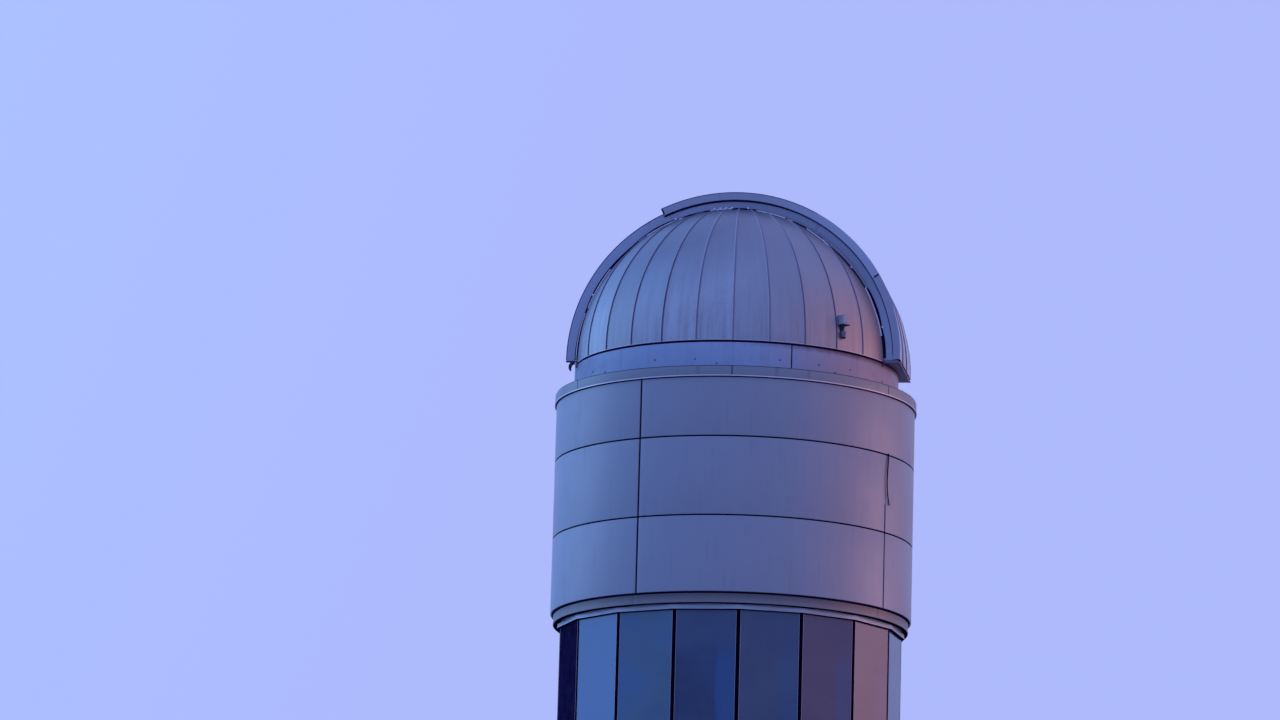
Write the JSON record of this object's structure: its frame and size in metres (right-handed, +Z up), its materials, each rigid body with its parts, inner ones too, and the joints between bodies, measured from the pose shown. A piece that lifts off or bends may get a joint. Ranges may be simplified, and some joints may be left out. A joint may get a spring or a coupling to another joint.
{
  "type": "observatory dome on a round tower head",
  "caption": "Round metal-clad tower head with a glazed storey, a fixed drum and a turning dome whose slit opens by an over-the-top shutter and a drop-out leaf.",
  "frame": {"origin": "on the ground, on the vertical axis of the tower and of the dome", "axes": "+Z up, +X out of the dome's slit, -Y the side that the picture shows"},
  "size_m": [5.69, 5.69, 10.6099],
  "materials": {
    "cladding": "satin",
    "coping": "satin",
    "trim": "satin",
    "glass": "gloss",
    "mullion": "satin",
    "concrete": "matt",
    "roofing": "matt",
    "drum_sheet": "satin",
    "gore_sheet": "satin",
    "rail_sheet": "satin",
    "shutter_sheet": "satin",
    "dark_steel": "satin",
    "sensor_shell": "satin"
  },
  "bodies": {
    "tower": {"base_plinth": "concrete", "ground_floor": "concrete", "mullion_frame": "mullion", "glass_band": "glass", "head_band": "trim", "upper_floor": "concrete", "belt_fascia": "trim", "cladding_row_bottom": "cladding", "cladding_row_middle": "cladding", "cladding_row_top": "cladding", "coping": "coping", "roof_deck": "roofing", "drum_wall": "drum_sheet", "track_ring": "dark_steel"},
    "dome": {"dome_ring": "dark_steel", "gore_near_01": "gore_sheet", "gore_near_02": "gore_sheet", "gore_near_03": "gore_sheet", "gore_near_04": "gore_sheet", "gore_near_05": "gore_sheet", "gore_near_06": "gore_sheet", "gore_near_07": "gore_sheet", "gore_near_08": "gore_sheet", "gore_near_09": "gore_sheet", "gore_near_10": "gore_sheet", "gore_near_11": "gore_sheet", "gore_far_01": "gore_sheet", "gore_far_02": "gore_sheet", "gore_far_03": "gore_sheet", "gore_far_04": "gore_sheet", "gore_far_05": "gore_sheet", "gore_far_06": "gore_sheet", "gore_far_07": "gore_sheet", "gore_far_08": "gore_sheet", "gore_far_09": "gore_sheet", "gore_far_10": "gore_sheet", "gore_far_11": "gore_sheet", "rear_shell": "gore_sheet", "arch_rail_near": "rail_sheet", "arch_rail_far": "rail_sheet", "slit_header": "rail_sheet", "slit_sill": "rail_sheet", "weather_sensor": "sensor_shell", "rear_hook": "dark_steel"},
    "upper_shutter": {"upper_shutter": "shutter_sheet", "upper_skirt_near": "shutter_sheet", "upper_skirt_far": "shutter_sheet"},
    "lower_shutter": {"lower_shutter": "shutter_sheet"}
  },
  "joints": [
    {"name": "dome_rotation", "type": "hinge", "parent": "tower", "child": "dome", "pos_m": [0, 0, 7.862], "axis": [0, 0, 1], "continuous": true},
    {"name": "upper_shutter_travel", "type": "hinge", "parent": "dome", "child": "upper_shutter", "pos_m": [0, 0, 7.926], "axis": [0, -1, 0], "range_deg": [0, 62]},
    {"name": "lower_shutter_hinge", "type": "hinge", "parent": "dome", "child": "lower_shutter", "pos_m": [2.654, 0, 7.901], "axis": [0, 1, 0], "range_deg": [0, 90]}
  ]
}
